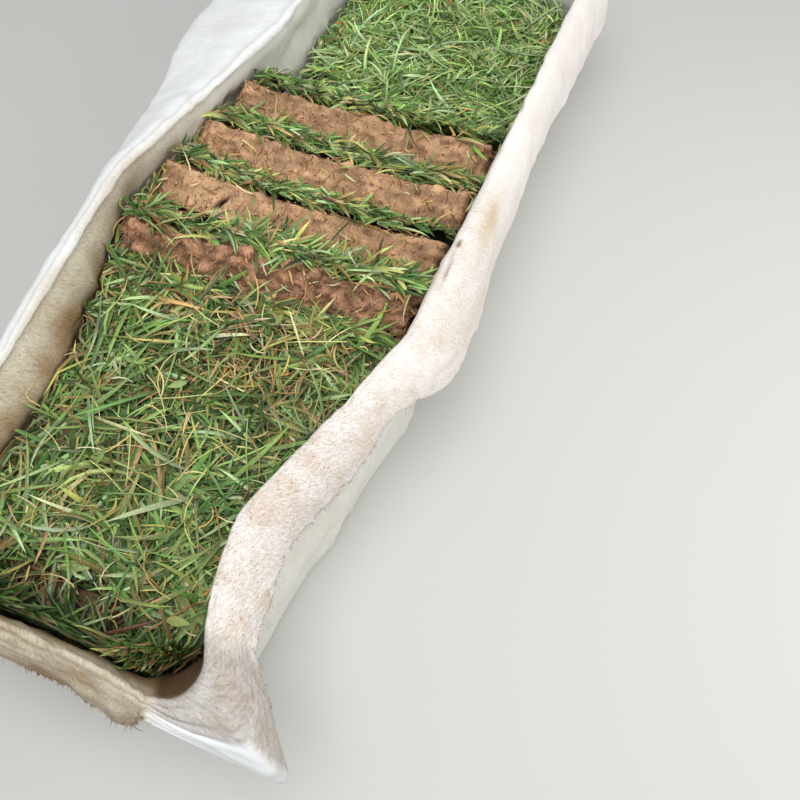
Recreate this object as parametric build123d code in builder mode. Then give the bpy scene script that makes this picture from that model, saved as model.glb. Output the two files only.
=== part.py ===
from build123d import *
import os
from math import cos, radians, sin, tan

# A woven sack laid on its side, slit open along the top and packed with hand-cut turf slabs.
# Millimetres. +Z is up and +Y runs from the near end to the far end.
# The origin is on the floor, under the middle of the sack's width there.

# Turf slab
soil = 45
sward = 18
sward_inset = 7

# Slabs that lie flat, grass up
near_layers = 3
near_row = 2
near_step = 12
far_layers = 2
slab_gap = 3

# Slabs that stand on edge, grass towards the far end
leaning_count = 4
lean = 52
leaning_height = 176
leaning_past_taper = 10
leaning_gap = 0.3
leaning_corner = 24

# Sack, measured inside at the height of the turf
inner_length = 1100
origin_from_near_end = 500
near_left = 132
near_right = 152
far_width = 384
left_bend = 220
taper_length = 400
sack_corner = 60
cloth = 2.5
side_gap = 6

# The far left side draws in from just past the first slab on edge
drawn_in = 50
draw_past_slab = 60
draw_length = 300

# How the sack's wall leaves that outline on its way up
base_inset = 4
base_rise = 12
bulge_height = 100
side_bulge = 5
rim_above_turf = 46
rim_flare = 12

# How the rim strays from the wall below it: out at the near left, in farther along.
# The near right side is tucked in, its rim most of all.
left_near_flare = 18
left_middle_lean = 14
left_far_lean = 24
tuck_place = 150
wall_tuck = 5
rim_tuck = 40

# The cut flaps, folded outwards over the rim
fold_spread = 20
fold_drop = 11
flap_spread = 16
flap_bend = 40
flap_flare = 5
near_flap = 44
near_flap_reach = 70
far_flap = 90
far_flap_reach = 60
left_flap_near = 86
left_flap_far = 150
right_flap_near = 104
right_flap_far = 118
left_fold_spread = 30
left_flap_spread = 74

slab = soil + sward
turf_top = cloth + near_layers * slab
rim = turf_top + rim_above_turf
near_end = -origin_from_near_end
far_end = near_end + inner_length
taper_end = near_end + taper_length
leaning_start = taper_end + leaning_past_taper
draw_start = leaning_start + draw_past_slab
lean_angle = radians(lean)
lean_pitch = (slab + leaning_gap) / sin(lean_angle)
flap_reach = rim_flare + cloth + fold_spread + flap_spread + flap_flare
past = 20  # how far a cutting shape runs past what it cuts


def outline(height, grow, spread=0, rim_share=0):
    """The sack's outline from above, moved outwards by grow, its far left side by spread more.
    At a rim share of 1 its sides stray as the rim does."""
    near_left_x = near_left + grow + rim_share * left_near_flare
    middle_left_x = far_width / 2 + grow - rim_share * left_middle_lean
    far_left_x = far_width / 2 + grow - drawn_in + spread - rim_share * left_far_lean
    near_right_x = near_right + grow
    far_right_x = far_width / 2 + grow
    straight_x = near_right_x + (far_right_x - near_right_x) * tuck_place / taper_length
    tuck_x = straight_x - wall_tuck - rim_share * rim_tuck
    near_y = near_end - grow
    far_y = far_end + grow
    with BuildSketch(Plane.XY.offset(height)) as section:
        with BuildLine():
            Polyline(
                (-near_left_x, near_y),
                (near_right_x, near_y),
                (tuck_x, near_end + tuck_place),
                (far_right_x, taper_end),
                (far_right_x, far_y),
                (-far_left_x, far_y),
                (-far_left_x, draw_start + draw_length),
                (-middle_left_x, draw_start),
                (-near_left_x, near_end + left_bend),
                close=True,
            )
        make_face()
        fillet(section.vertices().group_by(Axis.Y)[-1], sack_corner + grow)
        fillet(section.vertices().group_by(Axis.Y)[0], sack_corner + grow)
    return section.sketch


def wall_profile(grow):
    """Heights and offsets of the sack's wall from its floor to its rim, which alone strays."""
    return [
        (0, grow - base_inset),
        (base_rise, grow),
        (bulge_height, grow + side_bulge),
        (turf_top, grow),
        (rim, grow + rim_flare, 0, 1),
    ]


def flap_profile(grow, lower):
    """Heights and offsets of the folded flap from its hem up to the rim, and its far left spread."""
    folded = grow + fold_spread
    hanging = folded + flap_spread
    spread = left_fold_spread + left_flap_spread
    return [
        (0, hanging + flap_flare, spread, 1),
        (rim - flap_bend - lower, hanging, spread, 1),
        (rim - fold_drop - lower, folded, left_fold_spread, 1),
        (rim - lower, grow, 0, 1),
    ]


def hem(side, near_drop, far_drop):
    """The cut that leaves a flap hanging near_drop to far_drop below the rim on one side."""
    start = near_end - flap_reach - past
    stop = far_end + flap_reach + past
    with BuildSketch(Plane.YZ) as cut:
        with BuildLine():
            Polyline(
                (start, -past),
                (start, rim - near_flap),
                (near_end + near_flap_reach, rim - near_flap),
                (near_end + 2 * near_flap_reach, rim - near_drop),
                (far_end - far_flap_reach, rim - far_drop),
                (far_end, rim - far_flap),
                (stop, rim - far_flap),
                (stop, -past),
                close=True,
            )
        make_face()
    extrude(cut.sketch, amount=side * far_width, mode=Mode.SUBTRACT)


with BuildPart() as sack:
    # The flaps hang as a skirt around the wall, open below
    skirt_top = rim_flare + cloth
    loft([outline(*level) for level in flap_profile(skirt_top, 0)], ruled=True)
    skirt_inside = flap_profile(skirt_top - cloth, cloth)
    loft([outline(*level) for level in skirt_inside], ruled=True, mode=Mode.SUBTRACT)
    hem(-1, left_flap_near, left_flap_far)
    hem(1, right_flap_near, right_flap_far)
    # The wall and the floor
    loft([outline(*level) for level in wall_profile(cloth)], ruled=True)
    wall_inside = [(cloth, -base_inset)] + wall_profile(0)[1:]
    loft([outline(*level) for level in wall_inside], ruled=True, mode=Mode.SUBTRACT)


def underside(index, height):
    """The y of the soil face of leaning slab number index, at a height above the sack's floor."""
    top_edge = leaning_start + index * lean_pitch
    return top_edge + (leaning_height - height) / tan(lean_angle)


def flat_slab(y_near, y_far, bottom):
    """A slab that lies grass up between two places along the sack, cut to the sack's width."""
    with BuildPart() as piece:
        with BuildSketch(Plane.XY) as mat:
            add(outline(0, -side_gap))
            with Locations((0, (y_near + y_far) / 2)):
                Rectangle(2 * far_width, y_far - y_near, mode=Mode.INTERSECT)
        extrude(mat.sketch.moved(Location((0, 0, bottom))), amount=soil)
        with BuildSketch(Plane.XY) as grass:
            add(outline(0, -side_gap - sward_inset))
            with Locations((0, (y_near + y_far) / 2)):
                Rectangle(2 * far_width, y_far - y_near - 2 * sward_inset, mode=Mode.INTERSECT)
        extrude(grass.sketch.moved(Location((0, 0, bottom + soil))), amount=sward)
    return piece


def leaning_layer(index, start, thickness, inset):
    """Side view of one layer of a slab on edge, from its top edge down to the sack's floor."""
    run = Vector(cos(lean_angle), -sin(lean_angle))
    rise = Vector(sin(lean_angle), cos(lean_angle))
    top = Vector(underside(index, leaning_height), cloth + leaning_height)
    near_top = top + rise * start + run * inset
    far_top = near_top + rise * thickness
    near_foot = near_top + run * ((near_top.Y - cloth) / sin(lean_angle))
    far_foot = far_top + run * ((far_top.Y - cloth) / sin(lean_angle))
    corners = [near_top, far_top, far_foot, near_foot]
    with BuildSketch(Plane.YZ) as side:
        with BuildLine():
            Polyline([(corner.X, corner.Y) for corner in corners], close=True)
        make_face()
    return side.sketch


def leaning_slab(index):
    """A slab on edge. Its foot is pressed flat on the sack's floor and its cut edge faces up."""
    with BuildPart() as piece:
        extrude(leaning_layer(index, 0, soil, 0), amount=far_width, both=True)
        extrude(outline(0, -side_gap), amount=rim, mode=Mode.INTERSECT)
        top_edges = piece.faces().sort_by(Axis((0, 0, 0), (0, -cos(lean_angle), sin(lean_angle))))[-1].edges()
        fillet(top_edges.filter_by(Axis.X, reverse=True), leaning_corner)
    with BuildPart() as grass:
        extrude(leaning_layer(index, soil, sward, sward_inset), amount=far_width, both=True)
        extrude(outline(0, -side_gap - sward_inset), amount=rim, mode=Mode.INTERSECT)
    with BuildPart() as whole:
        add(piece)
        add(grass)
    return whole


def save(piece, name):
    piece.part.label = name
    export_step(piece.part, f"parts/{name}.step")


os.makedirs("parts", exist_ok=True)
save(sack, "sack")
for layer in range(near_layers):
    low = layer * slab
    row_start = near_end + side_gap + layer * near_step
    row_end = underside(0, low + slab) - slab_gap
    length = (row_end - row_start - (near_row - 1) * slab_gap) / near_row
    for place in range(near_row):
        y_near = row_start + place * (length + slab_gap)
        save(flat_slab(y_near, y_near + length, cloth + low), f"turf_near_{layer + 1}_{place + 1}")
for layer in range(far_layers):
    low = layer * slab
    y_near = underside(leaning_count, low) + slab_gap
    save(flat_slab(y_near, far_end - side_gap, cloth + low), f"turf_far_{layer + 1}")
for index in range(leaning_count):
    save(leaning_slab(index), f"turf_leaning_{index + 1}")
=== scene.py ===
import bpy
import numpy as np
from math import cos, hypot, pi, radians, sin, tan
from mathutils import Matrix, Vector


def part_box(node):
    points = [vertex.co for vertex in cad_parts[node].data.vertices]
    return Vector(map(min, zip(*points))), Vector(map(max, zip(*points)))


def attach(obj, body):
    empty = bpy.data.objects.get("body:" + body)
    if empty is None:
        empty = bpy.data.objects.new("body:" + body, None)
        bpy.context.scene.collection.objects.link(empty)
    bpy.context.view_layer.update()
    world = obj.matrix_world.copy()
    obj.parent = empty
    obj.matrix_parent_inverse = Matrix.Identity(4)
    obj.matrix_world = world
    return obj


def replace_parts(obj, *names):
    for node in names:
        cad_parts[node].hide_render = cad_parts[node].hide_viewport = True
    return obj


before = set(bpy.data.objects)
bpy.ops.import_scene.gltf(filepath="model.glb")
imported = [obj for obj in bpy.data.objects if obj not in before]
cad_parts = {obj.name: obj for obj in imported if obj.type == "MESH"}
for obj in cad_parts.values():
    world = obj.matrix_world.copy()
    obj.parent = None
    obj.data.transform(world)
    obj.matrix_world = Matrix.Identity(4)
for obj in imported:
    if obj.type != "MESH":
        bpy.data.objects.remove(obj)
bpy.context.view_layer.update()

# Metres, in the frame's own axes: +Y runs from the sack's near end to its far end, and +Z is up.
UP = np.array([0.0, 0.0, 1.0])
SEED = 41

# The photograph's view: where the camera stands, how far it turns left and how steeply it looks down
CAMERA = (0.37, -0.527, 0.9415)
TURN = 23
STEEP = 62
LENS = 36.9
SENSOR = 36

# The floor's size and grey, the light from all round, and the lamps: place, aim, size and power
FLOOR_SIZE = 16
FLOOR_GREY = (0.80, 0.80, 0.79)
WORLD_TINT = (0.97, 0.985, 1.0)
WORLD_LIGHT = 0.54
LAMP_TINT = (1.0, 0.985, 0.96)
LAMPS = (("window", (0.25, -0.55, 2.2), (0, 0, 0.1), 1.6, 28.5), ("fill", (1.4, 0.1, 0.9), (-0.15, 0.3, 0.15), 1.2, 9))

# The sack, as in its solid
NEAR_LEFT = 0.132
NEAR_RIGHT = 0.152
FAR_HALF = 0.192
NEAR_END = -0.5
FAR_END = 0.6
LEFT_BEND = -0.28
TUCK_PLACE = -0.35
TAPER_END = -0.1
DRAWN_IN = 0.05
DRAW_START = -0.03
DRAW_END = 0.27
WALL_TUCK = 0.005
RIM_TUCK = 0.040
LEFT_NEAR_FLARE = 0.018
LEFT_MIDDLE_LEAN = 0.014
LEFT_FAR_LEAN = 0.024
RIM_FLARE = 0.012
CORNER = 0.06
CLOTH = 0.0025
RIM = 0.2375
TURF_TOP = 0.1915
SIDE_GAP = 0.006

# How far blades and straws keep off the sack's wall and its floor
CLEARANCE = 0.004

# The turf, as in its solids
SOIL = 0.045
SWARD = 0.018
LEAN = radians(52)
LEAN_TOP = 0.1785
LEANING = 4

# Colours are written as they look, each from 0 to 1
SOIL_MID = np.array((0.68, 0.56, 0.445))
SOIL_TAN = np.array((0.92, 0.76, 0.60))
SOIL_DARK = np.array((0.38, 0.28, 0.21))
# Soil in the near right corner's hollow, darkened with painted shade
SOIL_IN_SHADE = np.array((0.36, 0.28, 0.20))
# The thatch seen between the blades: its own brown, darkened with painted shade
THATCH_PAINTED_SHADE = np.array((0.17, 0.15, 0.08))
GREENS = ((0.44, 0.60, 0.30), (0.28, 0.42, 0.18), (0.61, 0.73, 0.42), (0.70, 0.80, 0.57), (0.67, 0.69, 0.39))
DRY = ((0.82, 0.72, 0.48), (0.74, 0.60, 0.38), (0.62, 0.46, 0.29), (0.86, 0.79, 0.60))
ROOTS = ((0.74, 0.56, 0.42), (0.62, 0.42, 0.30), (0.80, 0.66, 0.46), (0.44, 0.28, 0.19))
STEMS = ((0.80, 0.78, 0.50), (0.86, 0.80, 0.58), (0.72, 0.60, 0.38))
# The cloth, clean and soiled, and the far inner wall cleaner and brightened with painted light
CLEAN = np.array((0.965, 0.98, 0.99))
RUBBED = np.array((0.95, 0.93, 0.92))
INNER = np.array((0.89, 0.87, 0.80))
INNER_FAR_CLEAN_AND_LIT = np.array((0.97, 0.965, 0.955))
BEIGE = np.array((0.78, 0.74, 0.66))
BROWN = np.array((0.62, 0.52, 0.39))
GREY_CLOTH = np.array((0.78, 0.765, 0.76))
BACK = np.array((0.93, 0.93, 0.90))


def draws(number):
    """Random draws that are the same in every run, a series for each use."""
    return np.random.default_rng(SEED + number)


def linear(colour):
    """A colour as it looks, as the light values that a material takes."""
    c = np.asarray(colour, dtype=float)
    return np.where(c <= 0.04045, c / 12.92, ((c + 0.055) / 1.055) ** 2.4)


def ease(x):
    """0 up to 0, 1 from 1 on and smooth between."""
    x = np.clip(x, 0, 1)
    return x * x * (3 - 2 * x)


def between(x, start, end, soft):
    """1 between two places and 0 outside them, with soft ends."""
    return ease((x - start) / soft) * ease((end - x) / soft)


def bump(x, centre, half):
    """A smooth rise to 1 at a centre that fades out over about twice the half width."""
    return np.exp(-(((x - centre) / half) ** 2))


def blend(one, other, share):
    return one + (other - one) * share


def xyz(x, y, z):
    """Points from their coordinates, each of them one number or an array."""
    return np.stack(np.broadcast_arrays(x, y, z), axis=-1)


def unit(v):
    return v / np.maximum(np.linalg.norm(v, axis=-1, keepdims=True), 1e-12)


def read(table, x):
    """A table's value at x, on straight lines between its pairs."""
    return np.interp(x, *np.transpose(table))


def distance_along(line):
    """How far each point of a line is from its start."""
    return np.append(0, np.cumsum(np.linalg.norm(np.diff(line, axis=0), axis=1)))


def smoothed(ring, times):
    """The values round a ring, averaged with their neighbours this many times."""
    for _ in range(times):
        ring = (np.roll(ring, 1, axis=0) + 2 * ring + np.roll(ring, -1, axis=0)) / 4
    return ring


# Repeatable noise

def lattice(cell, seed):
    """One number from -1 to 1 for each whole lattice point, the same in every run."""
    x, y, z = cell[..., 0], cell[..., 1], cell[..., 2]
    h = (x * 374761393 + y * 668265263 + z * 1440662683 + seed * 974634777) & 0xFFFFFFFF
    for shift, factor in ((13, 1274126177), (15, 2246822519)):
        h = ((h ^ (h >> shift)) * factor) & 0xFFFFFFFF
    return ((h ^ (h >> 16)) & 0xFFFFFF) / 0x7FFFFF - 1.0


def noise(points, size, seed=0):
    """Smooth noise from -1 to 1 at each point. Its lumps are about as long as size, one number or three."""
    q = np.asarray(points, dtype=float) / size + 31.7 * (seed + 1)
    cell = np.floor(q).astype(np.int64)
    f = q - cell
    w = f * f * f * (f * (f * 6 - 15) + 10)
    total = np.zeros(q.shape[:-1])
    for corner in np.ndindex(2, 2, 2):
        total += np.prod(np.where(corner, w, 1 - w), axis=-1) * lattice(cell + corner, seed)
    return total


def fractal(points, size, octaves=3, seed=0):
    """Noise with finer and weaker noise on top of it."""
    size = np.asarray(size, dtype=float)
    return sum(noise(points, size / 2 ** k, seed + k) / 2 ** k for k in range(octaves))


# Meshes

def mesh_object(name, points, faces, colours, materials, uvs=None, smooth=True):
    """An object with this mesh and looks, which rides on the object's one body."""
    mesh = bpy.data.meshes.new(name)
    mesh.from_pydata(points.reshape(-1, 3).tolist(), [], faces)
    mesh.update()
    rgba = np.ones((len(mesh.vertices), 4))
    rgba[:, :colours.shape[-1]] = colours.reshape(len(rgba), -1)
    mesh.color_attributes.new("tint", "FLOAT_COLOR", "POINT").data.foreach_set("color", rgba.ravel())
    if uvs is not None:
        layer = mesh.uv_layers.new(name="cloth")
        corners = np.empty(len(mesh.loops), dtype=np.int64)
        mesh.loops.foreach_get("vertex_index", corners)
        layer.data.foreach_set("uv", uvs[corners].ravel())
    mesh.polygons.foreach_set("use_smooth", np.full(len(mesh.polygons), smooth))
    for material in materials:
        mesh.materials.append(material)
    made = bpy.data.objects.new(name, mesh)
    bpy.context.scene.collection.objects.link(made)
    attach(made, "root")
    return made


def normals_of(points, faces):
    """The normal at each point of a mesh of these faces."""
    mesh = bpy.data.meshes.new("normals")
    mesh.from_pydata(points.tolist(), [], faces)
    mesh.update()
    found = np.empty(len(points) * 3)
    mesh.vertices.foreach_get("normal", found)
    bpy.data.meshes.remove(mesh)
    return found.reshape(-1, 3)


def block_surface(counts):
    """The grid points on a block's six faces, as whole numbers, and the quads between them."""
    shape = tuple(n + 1 for n in counts)
    grid = np.stack(np.meshgrid(*[np.arange(n) for n in shape], indexing="ij"), axis=-1)
    on_face = ((grid == 0) | (grid == np.array(counts))).any(axis=-1)
    index = np.full(shape, -1)
    index[on_face] = np.arange(on_face.sum())
    quads = []
    for axis in range(3):
        for end in (0, counts[axis]):
            side = np.take(index, end, axis=axis)
            quad = np.stack([side[:-1, :-1], side[1:, :-1], side[1:, 1:], side[:-1, 1:]], axis=-1).reshape(-1, 4)
            if (end == 0) == (axis != 1):
                quad = quad[:, ::-1]
            quads.append(quad)
    return grid[on_face], np.concatenate(quads).tolist()


# Blade widths from the start to just before the point, as shares: one that shows and one that others cover
BLADE = (0.6, 1, 0.95, 0.68)
COVERED = (0.75, 1, 0.75)


def ribbons(name, start, heading, rise, droop, sway, length, width, roll, colours, material,
            shape=BLADE, ridge=0.22, inside=None, painted_root_shade=0.8):
    """Blades or straws: thin closed strips with a ridge along the top and a point at the end.
    Each starts at a point, with a heading seen from above and a rise, droops and sways along its
    length, and is rolled about its own line. Inside moves its points clear of what is in the way."""
    rows, count = len(shape), len(start)
    line = np.empty((count, rows + 1, 3))
    at = np.array(start, dtype=float)
    for k in range(rows + 1):
        line[:, k] = at
        angle = rise - droop * (k + 0.5) / rows
        yaw = heading + sway * (k + 0.5) / rows
        step = xyz(np.cos(angle) * np.cos(yaw), np.cos(angle) * np.sin(yaw), np.sin(angle))
        at = at + step * (length / rows)[:, None]
    if inside is not None:
        line = inside(line)
    along = unit(np.gradient(line, axis=1))
    side = unit(np.cross(along, UP))
    over = np.cross(side, along)
    turn = roll[:, None, None]
    side, over = side * np.cos(turn) + over * np.sin(turn), over * np.cos(turn) - side * np.sin(turn)
    half = (width[:, None] * np.array(shape) / 2)[..., None]
    spine, side, over = line[:, :rows], side[:, :rows] * half, over[:, :rows] * half
    body = np.stack([spine - side, spine + over * 2 * ridge, spine + side], axis=2).reshape(count, rows * 3, 3)
    points = np.concatenate([body, line[:, rows:]], axis=1)
    ring = np.array([[0, 1, 4, 3], [1, 2, 5, 4], [2, 0, 3, 5]])
    quads = np.concatenate([ring + 3 * k for k in range(rows - 1)])
    tip = rows * 3
    tris = np.array([[tip - 3, tip - 2, tip], [tip - 2, tip - 1, tip], [tip - 1, tip - 3, tip], [2, 1, 0]])
    offsets = (np.arange(count) * (tip + 1))[:, None, None]
    faces = (quads + offsets).reshape(-1, 4).tolist() + (tris + offsets).reshape(-1, 3).tolist()
    # Painted shade: each blade or straw is darker towards its start and takes its own colour at its point
    painted_shading = np.append(np.linspace(painted_root_shade, 1, rows).repeat(3), 1.0)
    return mesh_object(name, points, faces, colours[:, None] * painted_shading[:, None], (material,), smooth=False)


GOLD = (1 + 5 ** 0.5) / 2
GRAIN_CORNERS = np.array([(-1, GOLD, 0), (1, GOLD, 0), (-1, -GOLD, 0), (1, -GOLD, 0)]) / hypot(1, GOLD)
GRAIN_CORNERS = np.concatenate([np.roll(GRAIN_CORNERS, k, axis=1) for k in range(3)])
GRAIN_SIDES = np.array([(0, 11, 5), (0, 5, 1), (0, 1, 7), (0, 7, 10), (0, 10, 11), (1, 5, 9), (5, 11, 4),
                        (11, 10, 2), (10, 7, 6), (7, 1, 8), (3, 9, 4), (3, 4, 2), (3, 2, 6), (3, 6, 8),
                        (3, 8, 9), (4, 9, 5), (2, 4, 11), (6, 2, 10), (8, 6, 7), (9, 8, 1)])


def crumbs(name, centres, sizes, tone, seed):
    """Small lumps of soil, each an uneven twenty-sided grain."""
    rng = draws(seed)
    count = len(centres)
    uneven = rng.uniform(0.6, 1.15, (count, 12, 1)) * sizes[:, None, None] / 2
    points = centres[:, None] + GRAIN_CORNERS * uneven * rng.uniform(0.6, 1.1, (count, 1, 3))
    faces = (GRAIN_SIDES + (np.arange(count) * 12)[:, None, None]).reshape(-1, 3).tolist()
    mesh_object(name, points, faces, np.repeat(linear(tone), 12, axis=0), (soil,), smooth=False)


# Materials

def add(nodes, kind, inputs, **settings):
    """A new node. Each input is a value or another node's output. Gives its outputs."""
    node = nodes.new("ShaderNode" + kind)
    for name, value in settings.items():
        setattr(node, name, value)
    for name, value in inputs.items():
        if isinstance(value, bpy.types.NodeSocket):
            nodes.id_data.links.new(value, node.inputs[name])
        else:
            node.inputs[name].default_value = value
    return node.outputs


def noise_node(nodes, place, scale, detail, distortion=0.0, kind="FBM"):
    inputs = {"Vector": place, "Scale": scale, "Detail": detail, "Distortion": distortion}
    return add(nodes, "TexNoise", inputs, noise_type=kind)["Fac"]


def ramp_node(nodes, value, low, high, *colours):
    """Turns a value into a colour between two colours, over a range."""
    made = add(nodes, "ValToRGB", {"Fac": value})["Color"]
    for element, position, colour in zip(made.node.color_ramp.elements, (low, high), colours):
        element.position = position
        element.color = (*np.broadcast_to(colour, 3), 1)
    return made


def multiply_node(nodes, one, other, share=1):
    inputs = {"Factor": share, "A": one, "B": other}
    return add(nodes, "Mix", inputs, data_type="RGBA", blend_type="MULTIPLY")["Result"]


def new_material(name, roughness, specular):
    """A material, its nodes and its shader's inputs."""
    material = bpy.data.materials.new(name)
    material.use_nodes = True
    nodes = material.node_tree.nodes
    inputs = nodes["Principled BSDF"].inputs
    inputs["Roughness"].default_value = roughness
    inputs["Specular IOR Level"].default_value = specular
    return material, nodes, inputs


def dress(nodes, shader, colour, bumps):
    """Gives the shader its colour and its bumps, from the finest up: height, strength and distance of each."""
    normal = {}
    for height, strength, distance in bumps:
        inputs = {"Height": height, "Strength": strength, "Distance": distance} | normal
        normal = {"Normal": add(nodes, "Bump", inputs)["Normal"]}
    nodes.id_data.links.new(colour, shader["Base Color"])
    nodes.id_data.links.new(normal["Normal"], shader["Normal"])


def turf_material(name, roughness, specular, mottles, grains):
    """The points' own colours, mottled: noise scale, detail, where it starts, darkest and brightest.
    Its grains are bumps: noise scale, detail, strength and distance."""
    material, nodes, shader = new_material(name, roughness, specular)
    place = add(nodes, "TexCoord", {})["Object"]
    colour = add(nodes, "VertexColor", {}, layer_name="tint")["Color"]
    for scale, detail, start, dark, bright in mottles:
        mottle = ramp_node(nodes, noise_node(nodes, place, scale, detail), start, 0.7, dark, bright)
        colour = multiply_node(nodes, colour, mottle)
    bumps = [(noise_node(nodes, place, scale, detail), *size) for scale, detail, *size in grains]
    dress(nodes, shader, colour, bumps)
    return material


TAPES_PER_METRE = 450
FIBRES = (480, 150, 1)


def cloth_material(name, roughness, dirt, creased, plain=None):
    """Woven plastic cloth: flat tapes crossing over and under, with rubbed fibres and soil in it, and
    creased by this much. A plain colour takes the place of the points' own."""
    material, nodes, shader = new_material(name, roughness, 0.3)
    coordinates = add(nodes, "TexCoord", {})
    place, flat = coordinates["Object"], coordinates["UV"]
    wave = {"Vector": flat, "Scale": TAPES_PER_METRE * pi / 10, "Distortion": 0.4, "Detail": 1}
    tapes = [add(nodes, "TexWave", wave, wave_type="BANDS", bands_direction=axis)["Fac"] for axis in "XY"]
    weave = add(nodes, "Math", dict(enumerate(tapes)), operation="MULTIPLY")[0]
    aslant = add(nodes, "Mapping", {"Vector": flat, "Rotation": (0, 0, 0.6)})[0]
    stretched = add(nodes, "Mapping", {"Vector": aslant, "Scale": FIBRES})[0]
    fibres = noise_node(nodes, stretched, 1, 3, 0.8)
    grain = noise_node(nodes, place, 420, 4, 1.2)
    smudges = noise_node(nodes, place, 26, 5, 0.6)
    specks = noise_node(nodes, place, 380, 2)

    def soiled(*taken):
        return linear(1 - dirt * np.array(taken))

    if plain is None:
        tint = add(nodes, "VertexColor", {}, layer_name="tint")
        colour = multiply_node(nodes, tint["Color"], ramp_node(nodes, weave, 0.0, 0.5, 0.98, 1.0))
        share = tint["Alpha"]
    else:
        colour = ramp_node(nodes, weave, 0.0, 0.5, linear(plain * 0.93), linear(plain))
        share = 1
    for ramp in ((fibres, 0.32, 0.62, soiled(0.15, 0.16, 0.18), 1.0),
                 (grain, 0.34, 0.52, soiled(0.08, 0.10, 0.12), 1.0),
                 (smudges, 0.26, 0.56, soiled(0.10, 0.15, 0.22), 1.0),
                 (specks, 0.69, 0.72, 1.0, soiled(0.36, 0.50, 0.58))):
        colour = multiply_node(nodes, colour, ramp_node(nodes, *ramp), share)
    crumples = noise_node(nodes, place, 90, 3)
    creases = noise_node(nodes, place, 7, 2, 0.8, "RIDGED_MULTIFRACTAL")
    dress(nodes, shader, colour, ((weave, 0.06, 0.0003), (fibres, 0.15, 0.0004), (crumples, 0.25, 0.0012),
                                  (creases, creased, 0.010)))
    return material


FLECKS = ((420, 2, 0.3, 0.82, 1.14),)
STREAKS = ((1500, 1, 0.25, 0.0004),)
soil = turf_material("soil", 0.92, 0.18, ((60, 4, 0.3, 0.8, 1.15), (520, 3, 0.25, 0.75, 1.15)),
                     ((900, 2, 0.6, 0.0012), (260, 4, 0.8, 0.003)))
grass = turf_material("grass", 0.48, 0.32, FLECKS, STREAKS)
straw = turf_material("straw", 0.8, 0.15, FLECKS, STREAKS)
cloth_outside = cloth_material("woven_outside", 0.5, 0.3, 0.55, BACK)
cloth_inside = cloth_material("woven_inside", 0.62, 1.0, 0.12)


# The sack's outline from above and how its wall leans

def rounded(before, corner, after, radius, steps):
    """The arc that rounds one corner of an outline, and where it ends."""
    one, two = unit(before - corner), unit(after - corner)
    half = np.arccos(np.clip(one @ two, -1, 1)) / 2
    centre = corner + unit(one + two) * radius / sin(half)
    start = corner + one * radius / tan(half) - centre
    end = corner + two * radius / tan(half) - centre
    first = np.arctan2(start[1], start[0])
    spin = (np.arctan2(end[1], end[0]) - first + pi) % (2 * pi) - pi
    angle = first + spin * np.linspace(0, 1, steps, endpoint=False)
    return centre + radius * np.stack([np.cos(angle), np.sin(angle)], axis=-1), centre + end


# The points on each rounded corner
ARC_STEPS = {0: 16, 1: 40, 4: 14, 5: 14}
# How much smaller the near right corner's radius is at the rim
SHARPER = 0.036
# The points on each straight run, from the corner with that number to the next
RUN_STEPS = (40, 24, 64, 116, 26, 46, 66, 56, 34)
# How often the outline is smoothed, and the points from and to which each step is split, where the hem is torn
OUTLINE_SMOOTHED = 14
SPLIT = (18, 172)


def outline(grow, spread=0.0, rim_share=0.0):
    """Points round the sack from its near left corner, moved outwards by grow, the far left by spread more.
    At a rim share of 1 its sides stray as the rim does."""
    near_left = NEAR_LEFT + grow + rim_share * LEFT_NEAR_FLARE
    middle_left = FAR_HALF + grow - rim_share * LEFT_MIDDLE_LEAN
    far_left = FAR_HALF + grow - DRAWN_IN + spread - rim_share * LEFT_FAR_LEAN
    near_right, far_right = NEAR_RIGHT + grow, FAR_HALF + grow
    tuck = np.interp(TUCK_PLACE, [NEAR_END, TAPER_END], [near_right, far_right]) - WALL_TUCK - rim_share * RIM_TUCK
    near_y, far_y = NEAR_END - grow, FAR_END + grow
    corners = np.array([(-near_left, near_y), (near_right, near_y), (tuck, TUCK_PLACE), (far_right, TAPER_END),
                        (far_right, far_y), (-far_left, far_y), (-far_left, DRAW_END), (-middle_left, DRAW_START),
                        (-near_left, LEFT_BEND)])
    total = len(corners)
    arcs = {}
    for i, steps in ARC_STEPS.items():
        radius = CORNER + grow - rim_share * SHARPER * (i == 1)
        arcs[i] = rounded(corners[i - 1], corners[i], corners[(i + 1) % total], radius, steps)
    pieces = []
    for i, here in enumerate(corners):
        if i in arcs:
            arc, here = arcs[i]
            pieces.append(arc)
        after = (i + 1) % total
        there = arcs[after][0][0] if after in arcs else corners[after]
        pieces.append(blend(here, there, np.linspace(0, 1, RUN_STEPS[i], endpoint=False)[:, None]))
    ring = smoothed(np.concatenate(pieces), OUTLINE_SMOOTHED)
    whole = np.arange(len(ring))
    finer = np.sort(np.append(whole, np.arange(*SPLIT) + 0.5))
    return np.stack([np.interp(finer, whole, column) for column in ring.T], axis=-1)


def rim_share_at(z):
    """How much of the rim's straying the wall has at a height: none beside the turf, all at the rim."""
    return ease((z - TURF_TOP + 0.010) / (RIM - TURF_TOP + 0.010))


# The wall by place along the sack: its distance from the middle beside the turf and at the rim
LEFT_WALL = ((NEAR_END, NEAR_LEFT, NEAR_LEFT + LEFT_NEAR_FLARE), (LEFT_BEND, NEAR_LEFT, NEAR_LEFT + LEFT_NEAR_FLARE),
             (DRAW_START, FAR_HALF, FAR_HALF - LEFT_MIDDLE_LEAN),
             (DRAW_END, FAR_HALF - DRAWN_IN, FAR_HALF - DRAWN_IN - LEFT_FAR_LEAN))
TUCKED = read(((NEAR_END, NEAR_RIGHT), (TAPER_END, FAR_HALF)), TUCK_PLACE) - WALL_TUCK
RIGHT_WALL = ((NEAR_END, NEAR_RIGHT, NEAR_RIGHT), (TUCK_PLACE, TUCKED, TUCKED - RIM_TUCK),
              (TAPER_END, FAR_HALF, FAR_HALF))


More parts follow.
